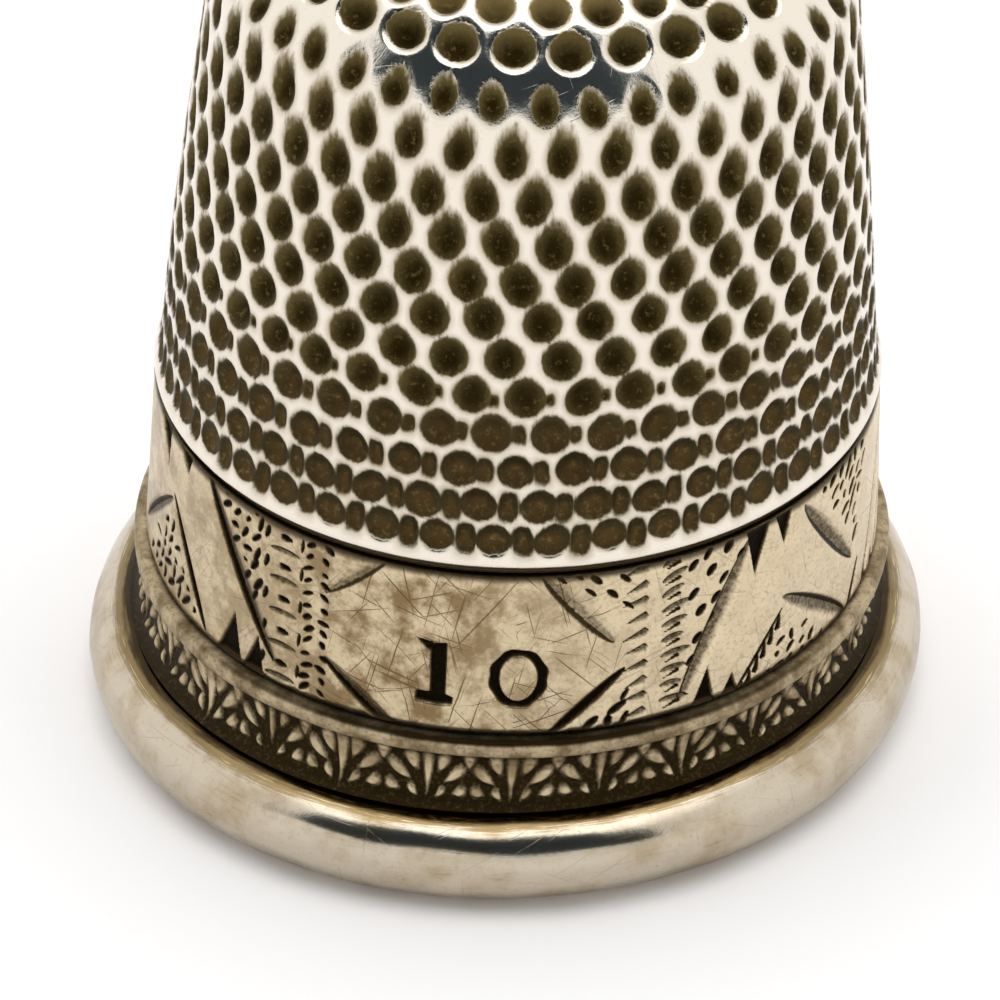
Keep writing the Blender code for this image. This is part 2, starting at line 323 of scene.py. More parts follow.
class DimpleField:
    """Depth and dirt over a grid of (distance down the section, angle)."""

    def __init__(self, radii, lengths):
        self.radii = radii
        self.lengths = lengths
        self.angles = column_angles(SHELL_COLUMNS)
        size = (len(lengths), SHELL_COLUMNS)
        self.depth = np.zeros(size)
        self.pit = np.full(size, -1.0)
        self.core = np.full(size, -1.0)
        self.haze = np.zeros(size)

    def strike(self, length, count, phase, width, above, below, depth, soft,
               squareness=2.0, loose=1.0, rise=0.0):
        """Strikes a row of dimples, each a little off its place, size and depth."""
        around = random.normal(0.0, loose * PLACE_JITTER, count)
        down = random.normal(0.0, loose * PLACE_JITTER, count)
        size = 1.0 + random.normal(0.0, SIZE_JITTER, count)
        strength = 1.0 + random.normal(0.0, DEPTH_JITTER, count)
        lean = random.normal(0.0, LEAN_JITTER, count)
        reach = max(above, below) + 1.5 * HALO_REACH
        rows = np.nonzero(np.abs(self.lengths - length) < reach)[0]
        pitch = 360.0 / count
        place = (self.angles - phase) / pitch
        index = np.round(place).astype(int)
        off_middle = np.radians((place - index) * pitch)
        index = index % count
        for row in rows:
            up = length - self.lengths[row] - down[index]
            across = off_middle * self.radii[row] - around[index] + lean[index] * up
            half_height = np.where(up > 0, above, below) * size[index]
            half_width = width * size[index] * np.where(up > 0, 1.0 - 0.12 * np.abs(up) / above, 1.0)
            q = rounded(across / half_width, up / half_height, squareness)
            edge = 0.06 + soft * smoothstep(up / half_height, -0.2, 1.0)
            dirt_and_shade = rounded(across / half_width, (up - rise) / half_height, squareness)
            core = 1.0 - np.hypot(across / half_width, (up + 0.28 * below) / half_height) / 0.92
            self.raise_to("depth", row, depth * strength[index] * cup_depth(q))
            self.raise_to("pit", row, np.clip((DIRT_SPREAD - dirt_and_shade) * width / (2.0 * edge), -1.0, 1.0))
            self.raise_to("core", row, np.clip(core, -1.0, 1.0))
            # the halo: partly dirt and partly painted shade round the dimple; it also sets where the land
            # swells
            self.raise_to("haze", row, np.clip(1.0 - (dirt_and_shade - 1.0) * width / HALO_REACH, 0.0, 1.0))

    def raise_to(self, name, row, values):
        grid = getattr(self, name)
        grid[row] = np.maximum(grid[row], values)


def dimpled_shell(material):
    """The cup: dimpled crown and wall, collar bead, plain skirt, and the smooth finger hole."""
    section = through(CROWN_AND_WALL, SHELL_STEP)
    section = section[section[:, 0] > POLE_RADIUS]
    lengths = arc_length(section)
    normals = section_normals(section)
    field = DimpleField(section[:, 0], lengths)
    heights_down = section[::-1, 1]
    for row, (height, phase, width, above, below, depth, soft) in enumerate(WALL_ROWS):
        length = float(np.interp(height, heights_down, lengths[::-1]))
        loose = 3.0 if row == len(WALL_ROWS) - 1 else 1.0
        field.strike(length, DIMPLES_PER_ROW, phase, width, above, below, depth, soft, loose=loose)
    for row, turn, width, half, depth in BETWEEN_DIMPLES:
        height, phase = WALL_ROWS[row][:2]
        length = float(np.interp(height, heights_down, lengths[::-1]))
        field.strike(length, DIMPLES_PER_ROW, phase + turn, width, half, half, depth, 0.0, squareness=3.2)
    for radius, count, phase, width, half, depth in CROWN_ROWS:
        length = float(np.interp(radius, section[:, 0], lengths))
        field.strike(length, count, phase, width, half, half, depth, 0.03, rise=CROWN_DIRT_RISE)

    skin = Skin(("pit", "core", "haze", "inner", "groove"))
    skin.add_pole(CROWN_AND_WALL[0][1])
    swell = LAND_SWELL * (1.0 - field.haze)
    for row, (radius, height) in enumerate(section):
        out, up = normals[row]
        lift = swell[row] - field.depth[row]
        ring = slice(None, None, halvings(radius))
        skin.add((radius + out * lift)[ring], (height + up * lift)[ring], pit=field.pit[row][ring],
                 core=field.core[row][ring], haze=field.haze[row][ring])
    for radius, height in through(BEAD_AND_SKIRT, 0.5):
        skin.add_plain(radius, height, SHELL_COLUMNS, pit=-1.0, groove=1.0)
    for radius, height in through(FINGER_HOLE, FINGER_HOLE_STEP):
        if radius > POLE_RADIUS:
            count = SHELL_COLUMNS // max(FINGER_HOLE_COARSENESS, halvings(radius))
            skin.add_plain(radius, height, count, pit=-1.0, inner=1.0)
    skin.add_pole(FINGER_HOLE[-1][1])
    return skin.build("shell_skin", material, looped=False)


def halvings(radius):
    """The power of two that divides a ring's columns so that none is narrower than FINEST_COLUMN."""
    step = 1
    while 2 * np.pi * radius * step / SHELL_COLUMNS < FINEST_COLUMN:
        step *= 2
    return step


class Engraving:
    """A grid of (row, column) over a cylinder that gravers cut into: how deep, and how dark the cut is."""

    def __init__(self, radius, heights, columns):
        self.radius = radius
        self.heights = heights
        self.columns = columns
        self.angles = column_angles(columns)
        self.depth = np.zeros((len(heights), columns))
        self.cut = np.zeros((len(heights), columns))

    def window(self, low_angle, high_angle, low, high):
        """The rows, the columns, and their angles near the given range, for a shape to be cut there."""
        per_column = 360.0 / self.columns
        first = math.floor((low_angle + DRAWING_TURN) / per_column)
        wide = np.arange(first, math.ceil((high_angle + DRAWING_TURN) / per_column) + 1)
        rows = np.nonzero((self.heights >= low) & (self.heights <= high))[0]
        return rows, wide % self.columns, wide * per_column - DRAWING_TURN

    def mm(self, degrees):
        return np.radians(degrees) * self.radius

    def gouge(self, start, end, width, depth, wedge=False, side=0.0, dark=1.0):
        """A graver's cut from start to end, each an (angle, height). It is a lens, or a wedge that is widest
        at the end. Side moves its deepest line towards one flank, from -1 to 1."""
        pad = math.degrees(width / self.radius)
        rows, cols, angles = self.window(min(start[0], end[0]) - pad, max(start[0], end[0]) + pad,
                                         min(start[1], end[1]) - width, max(start[1], end[1]) + width)
        if not len(rows):
            return
        x = self.mm(angles - start[0])[None, :]
        y = (self.heights[rows] - start[1])[:, None]
        run = np.array([self.mm(end[0] - start[0]), end[1] - start[1]])
        length = float(np.hypot(*run)) or 1e-6
        run = run / length
        along = (x * run[0] + y * run[1]) / length
        across = -x * run[1] + y * run[0]
        if wedge:
            half = 0.5 * width * np.clip(along, 0.0, 1.0) ** 0.8 * smoothstep(1.12 - along, 0.0, 0.12)
        else:
            half = 0.5 * width * np.sqrt(np.clip(4 * along * (1 - along), 0.0, 1.0))
        half = np.maximum(half, 1e-6)
        middle = side * half * 0.7
        flank = np.where(across > middle, half - middle, half + middle)
        share = np.clip(1.0 - np.abs(across - middle) / flank, 0.0, 1.0)
        share = np.where(half > 0.01, share, 0.0)
        # painted shade: the long flank of a slanting cut is painted lighter than the steep one
        flank_shade = np.where((across - middle) * side < 0, LONG_FLANK_TONE, 1.0)
        self.sink(rows, cols, depth * share * np.clip(half / (0.5 * width), 0.3, 1.0),
                  dark * flank_shade * np.clip(CUT_DARKNESS * share, 0.0, 1.0))

    def around(self, centre, reach):
        """The rows and columns within reach of the centre, and their places from it in millimetres."""
        pad = math.degrees(reach / self.radius)
        angle, z = centre
        rows, cols, angles = self.window(angle - pad, angle + pad, z - reach, z + reach)
        return rows, cols, self.mm(angles - angle)[None, :], (self.heights[rows] - z)[:, None]

    def ellipse(self, centre, half_width, half_height, depth):
        """An oval punch mark."""
        rows, cols, x, y = self.around(centre, 1.3 * max(half_width, half_height))
        share = smoothstep(1.1 - np.hypot(x / half_width, y / half_height), 0.0, 0.3)
        self.sink(rows, cols, depth * share, share)

    def polygon(self, outline, depth, soft=0.03):
        """A flat-bottomed shape with the outline's corners, each an (angle, height)."""
        outline = np.array(outline, float)
        low, high = outline.min(axis=0), outline.max(axis=0)
        pad = math.degrees(2 * soft / self.radius)
        rows, cols, angles = self.window(low[0] - pad, high[0] + pad, low[1] - 2 * soft, high[1] + 2 * soft)
        x = self.mm(angles)[None, :] + 0.0 * self.heights[rows][:, None]
        y = self.heights[rows][:, None] + 0.0 * x
        corner = np.stack([self.mm(outline[:, 0]), outline[:, 1]], axis=1)
        inside = np.zeros(x.shape, bool)
        nearest = np.full(x.shape, 1e9)
        for a, b in zip(corner, np.roll(corner, -1, axis=0)):
            crosses = (a[1] > y) != (b[1] > y)
            with np.errstate(divide="ignore", invalid="ignore"):
                at = a[0] + (y - a[1]) * (b[0] - a[0]) / (b[1] - a[1])
            inside ^= crosses & (x < at)
            edge = b - a
            t = np.clip(((x - a[0]) * edge[0] + (y - a[1]) * edge[1]) / (edge @ edge), 0.0, 1.0)
            nearest = np.minimum(nearest, np.hypot(x - a[0] - t * edge[0], y - a[1] - t * edge[1]))
        signed = np.where(inside, nearest, -nearest)
        share = smoothstep(signed, -soft, soft)
        self.sink(rows, cols, depth * share, share)

    def sink(self, rows, cols, depth, dark):
        spot = np.ix_(rows, cols)
        self.depth[spot] = np.maximum(self.depth[spot], depth)
        self.cut[spot] = np.maximum(self.cut[spot], dark)


def share_to_height(share, angle=0.0):
    """A share of the drawing's height as a height at that angle; the drawing runs past the band's edges."""
    return DRAWING_FOOT + DRAWING_SPAN * share - DRAWING_SLOPE * math.sin(math.radians(angle))


def at(angle, share):
    return (angle, share_to_height(share, angle))


NUMERAL_DEPTH = 0.12
LEAF_DEPTH = 0.12
ABOVE, BELOW = 1.02, -0.02  # shares of the drawing just past the band's edges


def engrave_numeral(cutter):
    """A plain size numeral, 10: a serifed one and a slightly faceted nought."""
    top, foot = share_to_height(0.535, -10.0), share_to_height(0.19, -10.0)
    cutter.polygon([(-10.3, top - 0.06), (-7.75, top), (-7.75, foot), (-10.1, foot)], NUMERAL_DEPTH)
    cutter.polygon([(-12.6, top + 0.06), (-9.9, top), (-9.9, top - 0.28), (-10.9, top - 0.22)], NUMERAL_DEPTH)
    cutter.polygon([(-12.4, foot - 0.04), (-12.3, foot + 0.22), (-10.1, foot + 0.24), (-7.8, foot + 0.22),
                    (-6.5, foot + 0.14), (-6.6, foot - 0.06), (-9.0, foot - 0.10)], NUMERAL_DEPTH)
    ring_shape(cutter, at(3.4, 0.36), (0.71, 0.84), (0.465, 0.655), NUMERAL_DEPTH)


def ring_shape(cutter, centre, outer, inner, depth):
    """A closed ring between two ovals, faceted as if cut with a flat punch."""
    rows, cols, x, y = cutter.around(centre, 1.2 * max(outer))
    facet = 1.0 + 0.025 * np.cos(8 * np.arctan2(y, x) + 0.6)
    q_out = np.hypot(x / outer[0], y / outer[1]) * facet
    q_in = np.hypot(x / inner[0], y / inner[1])
    share = smoothstep((1.0 - q_out) * outer[0], -0.03, 0.03)
    share = share * smoothstep((q_in - 1.0) * inner[0], -0.03, 0.03)
    cutter.sink(rows, cols, depth * share, share)


# (angle, share, size) of the loose marks on both sides of the fern
FERN_RIGHT_MARKS = (
    (34.3, 0.84, 0.20), (37.4, 0.94, 0.22), (32.5, 0.62, 0.20), (35.2, 0.67, 0.17), (32.0, 0.46, 0.19),
    (39.9, 0.87, 0.17), (33.6, 0.94, 0.15), (31.2, 0.73, 0.17), (36.6, 0.77, 0.15), (31.0, 0.90, 0.17),
    (31.0, 0.34, 0.15), (34.6, 0.54, 0.14),
)
FERN_LEFT_MARKS = (
    (9.5, 0.945, 0.16), (12.0, 0.965, 0.22), (15.0, 0.93, 0.26), (17.6, 0.84, 0.24), (19.6, 0.92, 0.22),
    (14.2, 0.86, 0.16), (20.2, 0.76, 0.16),
)


def engrave_fern(cutter):
    """Right of the cartouche: a plain stem with short cuts leaning up to it on both sides."""
    for k in range(10):
        z = 8.88 - 0.46 * k
        drop = 0.16 + 0.06 * math.sin(2.1 * k)
        cutter.gouge((18.9 + 0.6 * (k % 2), z - drop), (23.1, z), 0.30, 0.12, wedge=True, side=0.3)
    for k in range(10):
        z = 8.92 - 0.45 * k
        slope = 0.16 - 0.02 * k
        cutter.gouge((30.6 - 0.6 * (k % 3), z + slope), (25.6, z - slope), 0.28, 0.12, side=-0.3)
        cutter.gouge((25.8, z - 0.24), (28.6, z - 0.10), 0.13, 0.06, wedge=True)
    for angle, share, size in FERN_RIGHT_MARKS:
        cutter.gouge(at(angle - 0.9, share - 0.03), at(angle + 0.7, share + 0.03), 1.6 * size, 0.11)
    pips(cutter, ((12.5, 0.04), (21.5, 0.04), (20.5, 0.26)), 0.40)
    for angle, share, size in FERN_LEFT_MARKS:
        start, end = at(angle - 1.0, share + 0.02), at(angle + 0.8, share - 0.03)
        cutter.gouge(start, end, size, 0.10, dark=0.9)


PETAL_RINGS = (0.87, 0.70, 0.51, 0.32, 0.13)  # heights of the oval petals, as shares of the drawing


def engrave_hatching(cutter):
    """Left of the cartouche: a ribbon with nicks along both edges, then a column of ovals with pips."""
    for k in range(13):
        z = 4.66 + 0.345 * k
        for start, end in ((-31.9, -30.0), (-27.3, -28.8)):
            begin, finish, fall = random.normal(0.0, (0.3, 0.3, 0.05))
            width = random.uniform(0.16, 0.26)
            cutter.gouge((start + begin, z - 0.09), (end + finish, z + 0.08 + fall), width, 0.09)
    for share in PETAL_RINGS:
        cutter.ellipse(at(-35.6, share), 0.20, 0.10, 0.09)
        cutter.gouge(at(-38.6, share - 0.088), at(-32.8, share - 0.078), 0.26, 0.11, side=0.3)
        cutter.gouge(at(-39.7, share - 0.05), at(-39.0, share + 0.03), 0.22, 0.10)
        cutter.gouge(at(-32.5, share - 0.04), at(-32.3, share + 0.04), 0.15, 0.09)
    for k in range(10):
        share = 0.20 + 0.082 * k
        nearest_furrow = -36.6 - 18.0 * (share - 0.12) / 0.865
        angle = -41.2 - 0.5 * (k % 2)
        while angle > nearest_furrow + 1.2:
            nick(cutter, (angle, share_to_height(share, angle)))
            angle -= 2.5


def nick(cutter, place):
    """One short slanting cut, a little different each time."""
    drift, lift, reach, tilt = random.normal(0.0, (0.25, 0.03, 0.06, 0.35))
    angle, z = place[0] + drift, place[1] + lift
    half = 0.19 + reach
    along, up = half * math.cos(0.9 + tilt), half * math.sin(0.9 + tilt)
    turn = math.degrees(along / cutter.radius)
    cutter.gouge((angle - turn, z - up), (angle + turn, z + up), random.uniform(0.18, 0.30), 0.10)


def engrave_corners(cutter):
    """The four cuts that take the corners off the cartouche."""
    cutter.gouge(at(-17.6, 0.96), at(-28.2, 0.66), 0.44, 0.11, side=0.6, dark=0.8)
    cutter.gouge(at(-27.8, 0.29), at(-14.6, -0.03), 0.46, 0.13, side=-0.5)
    cutter.gouge(at(6.4, 0.98), at(18.2, 0.545), 0.62, 0.12, side=-0.6, dark=0.8)
    cutter.gouge(at(19.9, 0.39), at(8.2, 0.02), 0.42, 0.13, side=0.0)


def leaves(cutter, edge, shapes):
    """Triangular cuts from an edge of the band, each (its two angles there, its tip's angle and share)."""
    for low, high, tip_angle, tip in shapes:
        cutter.polygon([at(low, edge), at(high, edge), at(tip_angle, tip)], LEAF_DEPTH)


def engrave_right_side(cutter):
    """The first leaf-edged ribbon to the right of the fern."""
    cutter.gouge(at(41.8, 0.95), at(29.0, 0.11), 0.62, 0.14, side=-0.6)
    leaves(cutter, ABOVE, ((40.6, 46.4, 42.6, 0.70), (46.6, 51.2, 48.9, 0.79)))
    leaves(cutter, BELOW, ((30.6, 35.6, 34.0, 0.26), (35.7, 40.2, 38.6, 0.17)))
    cutter.gouge(at(48.8, 0.42), at(38.6, 0.02), 0.17, 0.09)
    for k in range(6):
        angle, share = 48.2 - 1.5 * k, 0.40 - 0.062 * k
        cutter.gouge(at(angle, share), at(angle - 0.5, share - 0.10), 0.30, 0.10, wedge=True)
    cutter.gouge(at(48.6, 0.48), at(66.6, 0.06), 0.64, 0.13, side=0.6)
    cutter.gouge(at(53.6, 0.95), at(68.9, 0.35), 0.70, 0.13, side=-0.6)
    cutter.gouge(at(71.4, 0.30), at(66.4, -0.05), 0.30, 0.10)
    pips(cutter, ((44.5, 0.05), (61.5, 0.02), (50.2, 0.34)), 0.42)
    pips(cutter, ((57.5, 0.98), (75.5, 0.97), (70.5, 0.44)), 0.42)


def engrave_left_side(cutter):
    """The first leaf-edged ribbon to the left of the petal column."""
    cutter.gouge(at(-54.6, 0.985), at(-36.6, 0.12), 0.60, 0.13, side=-0.5)
    leaves(cutter, ABOVE, ((-67.0, -58.4, -60.5, 0.80), (-77.0, -67.6, -68.4, 0.70)))
    leaves(cutter, BELOW, ((-49.6, -43.6, -45.7, 0.27), (-43.4, -38.8, -40.4, 0.22)))
    cutter.gouge(at(-65.4, 0.60), at(-52.6, 0.02), 0.40, 0.12, side=-0.3)
    cutter.gouge(at(-81.7, 0.10), at(-65.4, 0.56), 0.50, 0.11, side=0.6)
    pips(cutter, ((-54.8, 0.06), (-77.0, 0.03), (-66.0, 0.48)), 0.42)


def pips(cutter, triangle, spacing):
    """Fills a triangle of (angle, share) corners with rows of small slanting cuts."""
    (ax, ay), (bx, by), (cx, cy) = [(cutter.mm(a), share_to_height(s)) for a, s in triangle]
    low, high = min(ay, by, cy), max(ay, by, cy)
    row = 0
    z = low + 0.5 * spacing
    while z < high:
        crossings = []
        for (x0, y0), (x1, y1) in (((ax, ay), (bx, by)), ((bx, by), (cx, cy)), ((cx, cy), (ax, ay))):
            if (y0 > z) != (y1 > z):
                crossings.append(x0 + (z - y0) * (x1 - x0) / (y1 - y0))
        if len(crossings) == 2:
            x = min(crossings) + (0.3 + 0.5 * (row % 2)) * spacing
            while x < max(crossings) - 0.2 * spacing:
                angle = math.degrees(x / cutter.radius)
                nick(cutter, (angle, z - DRAWING_SLOPE * math.sin(math.radians(angle))))
                x += spacing
        z += spacing * 0.9
        row += 1


def engrave_back(cutter):
    """The rest of the way round: the ribbon zigzags on, with leaves along it and pips in the triangles."""
    half = 18.3
    start = 76.0
    for leg in range(10):
        left = start + half * leg
        rising = leg % 2 == 0
        low, high, lean = (0.02, 0.97, 0.6) if rising else (0.97, 0.02, -0.6)
        cutter.gouge(at(left - 2.2, low), at(left + half - 6.4, high), 0.56, 0.13, side=lean)
        cutter.gouge(at(left + 5.2, low), at(left + half - 0.2, high), 0.44, 0.12, side=-lean)
        edge, tip, foot, top = (BELOW, 0.22, 0.04, 0.60) if rising else (ABOVE, 0.80, 0.97, 0.42)
        for base in (left - 3.4, left + 1.2):
            leaves(cutter, edge, ((base, base + 4.4, base + 2.6, tip),))
        pips(cutter, ((left + 8.4, foot), (left + 2 * half - 8.4, foot), (left + half, top)), 0.42)
    cutter.gouge(at(-101.0, 0.02), at(-84.0, 0.97), 0.56, 0.13, side=0.6)


def engraved_band(material):
    """The band: a sleeve with its cartouche, its numeral and bright-cut ribbons, leaves and textures."""
    heights = np.linspace(BAND_BOTTOM + 0.05, BAND_TOP - 0.05, round((BAND_TOP - BAND_BOTTOM) / BAND_STEP))
    cutter = Engraving(BAND_RADIUS, heights, BAND_COLUMNS)
    engrave_corners(cutter)
    engrave_numeral(cutter)
    engrave_fern(cutter)
    engrave_hatching(cutter)
    engrave_right_side(cutter)
    engrave_left_side(cutter)
    engrave_back(cutter)

    field = cartouche_mask(cutter)
    skin = Skin(("cut", "field", "edge"))
    top_radius = BAND_RADIUS - BAND_TAPER
    for inset, drop in ((0.10, 0.0), (0.04, 0.015)):
        skin.add_plain(top_radius - inset, BAND_TOP - drop, BAND_COLUMNS, edge=1.0, cut=0.4)
    wave = 0.006 * np.sin(np.radians(3 * cutter.angles + 40)) + 0.004 * np.sin(np.radians(7 * cutter.angles))
    for row in range(len(heights))[::-1]:
        share = (heights[row] - BAND_BOTTOM) / (BAND_TOP - BAND_BOTTOM)
        # the band darkens towards its top and bottom: dirt and painted shade by the grooves
        edge = 1.0 - smoothstep(min(heights[row] - BAND_BOTTOM, BAND_TOP - heights[row]), 0.05, 0.20)
        radii = BAND_RADIUS - BAND_TAPER * share + wave - cutter.depth[row] - 0.02 * edge
        skin.add(np.maximum(radii, SLEEVE_RADIUS + THINNEST_BAND), np.full(BAND_COLUMNS, heights[row]),
                 cut=cutter.cut[row], field=field[row], edge=float(edge))
    for inset, rise in ((0.04, 0.015), (0.10, 0.0)):
        skin.add_plain(BAND_RADIUS - inset, BAND_BOTTOM + rise, BAND_COLUMNS, edge=1.0, cut=0.4)
    skin.add_plain(SLEEVE_RADIUS, BAND_BOTTOM, BAND_COLUMNS, edge=1.0)
    skin.add_plain(SLEEVE_RADIUS, BAND_TOP, BAND_COLUMNS, edge=1.0)
    return skin.build("band_skin", material, looped=True)


def cartouche_mask(cutter):
    """One over the plain cartouche, nothing over the engraved ground."""
    angle = (cutter.angles - DRAWING_TURN + 180.0) % 360.0 - 180.0
    off = np.abs(angle + 4.0)[None, :]
    share = (cutter.heights[:, None] - DRAWING_FOOT) / DRAWING_SPAN
    cut = np.maximum(0.0, np.abs(share - 0.48) - 0.18) / 0.32
    return smoothstep(23.4 - 10.5 * cut - off, -0.6, 0.6)


# (across, up, half width, half length, turn from upright): one palmette's petals, in millimetres
PETALS = (
    (0.00, 0.80, 0.105, 0.44, 0.0),
    (0.37, 0.95, 0.125, 0.22, -24.0),
    (0.69, 0.69, 0.110, 0.27, -54.0),
    (0.83, 0.34, 0.095, 0.15, -70.0),
    (0.34, 0.30, 0.070, 0.12, -50.0),
    (1.06, 1.04, 0.120, 0.19, 0.0),
)
PETAL_RADIUS = 9.13


def palmette_field(angles, up, phase=0.6):
    """How far inside a petal each place is, from -1 to 1, with up measured from the palmettes' foot."""
    pitch = 360.0 / PALMETTES
    place = (angles - phase) / pitch
    index = np.round(place).astype(int)
    x = np.radians((place - index) * pitch) * PETAL_RADIUS
    fade = 1.0 - 2.0 * np.abs(place - index)
    worn = fade * random.normal(0.0, 0.16, PALMETTES)[index % PALMETTES]
    drift = fade * random.normal(0.0, 0.05, PALMETTES)[index % PALMETTES]
    best = np.full((len(up), len(angles)), -1.0)
    for across, middle, half_width, half_length, turn in PETALS:
        for mirror in ((1.0,) if across == 0.0 else (1.0, -1.0)):
            c, s = math.cos(math.radians(turn * mirror)), math.sin(math.radians(turn * mirror))
            dx = (x - mirror * across - drift)[None, :]
            dy = (up / PALMETTE_STRETCH - middle)[:, None] + 0.0 * dx
            over, along = dx * c + dy * s, -dx * s + dy * c
            taper = 1.0 + 0.42 * np.clip(along / half_length, -1.0, 1.0)
            q = np.hypot(over / (half_width * taper), along / half_length)
            best = np.maximum(best, np.clip((1.0 + worn[None, :] - q) * 1.1, -1.0, 1.0))
    return best


def palmette_border(material):
    """The border: small palmettes standing in a dark cove, under a plain rounded fillet."""
    section = through(BORDER_SECTION, BORDER_STEP)[::-1]
    normals = section_normals(section)
    angles = column_angles(BORDER_COLUMNS)
    petal = palmette_field(angles, section[:, 1] - PALMETTE_FOOT)
    below_top = smoothstep(PALMETTE_TOP + 0.10 - section[:, 1], 0.0, 0.10)
    zone = smoothstep(section[:, 1], PALMETTE_FOOT - 0.15, PALMETTE_FOOT) * below_top
    skin = Skin(("petal", "zone", "solder"))
    bend = 0.010 * np.sin(np.radians(5 * angles + 20)) + 0.006 * np.sin(np.radians(13 * angles))
    top_shade = SIDE_SHADE + (1.0 - SIDE_SHADE) * np.cos(np.radians(angles)) ** 2
    for row, (radius, height) in enumerate(section):
        out, up = normals[row]
        raised = smoothstep(petal[row], -0.55, 0.45)
        lift = PALMETTE_RELIEF * zone[row] * (raised - 1.0) + bend * (1.0 - zone[row])
        # the joint mask here is painted: shadow at the foot where the border sits on the rim, and shade along
        # the fillet's top under the band
        skin.add(radius + out * lift, height + up * lift * 0.5, petal=petal[row], zone=float(zone[row]),
                 solder=1.0 - smoothstep(height, PALMETTE_FOOT - 0.04, PALMETTE_FOOT + 0.14)
                 + smoothstep(height, *FILLET_SHADE) * top_shade)
    skin.add_plain(SLEEVE_RADIUS, BORDER_SECTION[0][1], BORDER_COLUMNS)
    skin.add_plain(SLEEVE_RADIUS, BORDER_SECTION[-1][1], BORDER_COLUMNS)
    return skin.build("border_skin", material, looped=True)


def rim_ring(material):
    """The rim: a thick round wire, a little dented, flat where it stands."""
    foot = RIM_WIRE - math.sqrt(RIM_WIRE**2 - RIM_FOOT**2)
    centre = RIM_WIRE - foot
    lowest = -math.pi / 2 + math.asin(RIM_FOOT / RIM_WIRE)
    highest = math.pi / 2 + math.asin((RIM_RADIUS - SLEEVE_RADIUS) / RIM_WIRE)
    angles = np.radians(column_angles(RIM_COLUMNS))
    skin = Skin(("solder", "polish"))
    for tilt in np.linspace(highest, lowest, RIM_SECTION_POINTS):
        dents = 0.014 * np.sin(3 * angles + 2.2 * tilt + 0.5) + 0.010 * np.sin(8 * angles - 3.0 * tilt)
        dents += 0.006 * np.sin(19 * angles + 5.0 * tilt) + 0.004 * np.sin(37 * angles + 1.0)
        dents *= smoothstep(tilt, lowest, lowest + 0.5)
        wire = RIM_WIRE + dents - RIM_WEAR
        wire = np.where(tilt <= lowest + 0.001, RIM_WIRE, wire)
        radii = RIM_RADIUS + wire * math.cos(tilt)
        heights = np.maximum(centre + wire * math.sin(tilt), 0.0)
        # the joint mask: old solder, painted glints, and painted shadow where the wire runs in under the
        # border
        skin.add(radii, heights, solder=float(smoothstep(tilt, 0.84, 1.46)),
                 polish=float(smoothstep(tilt, 0.42, 0.62)))
    inner = centre - math.sqrt(RIM_WIRE**2 - (RIM_RADIUS - SLEEVE_RADIUS) ** 2)
    flat = RIM_RADIUS - RIM_FOOT
    skin.add_plain(flat, 0.0, RIM_COLUMNS)
    skin.add_plain(SLEEVE_RADIUS, inner, RIM_COLUMNS)
    return skin.build("rim_skin", material, looped=True)


# ==== Materials


class Nodes:
    """Short ways to add shader nodes to a tree and join them."""

    def __init__(self, tree):
        self.tree = tree

    def add(self, kind, **settings):
        node = self.tree.nodes.new(kind)
        for name, value in settings.items():
            setattr(node, name, value)
        return node

    def put(self, socket, value):
        if isinstance(value, bpy.types.NodeSocket):
            self.tree.links.new(value, socket)
        else:
            socket.default_value = value

    def math(self, operation, *values, clamp=False):
        node = self.add("ShaderNodeMath", operation=operation, use_clamp=clamp)
        for socket, value in zip(node.inputs, values):
            self.put(socket, value)
        return node.outputs[0]

    def times(self, first, second):
        return self.math("MULTIPLY", first, second)

    def plus(self, first, second, clamp=False):
        return self.math("ADD", first, second, clamp=clamp)

    def ramp(self, value, low, high, to_low=0.0, to_high=1.0):
        """A smooth step of the value from low to high."""
        node = self.add("ShaderNodeMapRange", interpolation_type="SMOOTHSTEP")
        for name, given in (("Value", value), ("From Min", low), ("From Max", high), ("To Min", to_low),
                            ("To Max", to_high)):
            self.put(node.inputs[name], given)
        return node.outputs["Result"]

    def mix(self, share, first, second):
        """Two colours mixed by a share."""
        node = self.add("ShaderNodeMix", data_type="RGBA")
        self.put(node.inputs["Factor"], share)
        for socket, colour in ((node.inputs[6], first), (node.inputs[7], second)):
            self.put(socket, (*colour, 1.0) if isinstance(colour, tuple) else colour)
        return node.outputs[2]


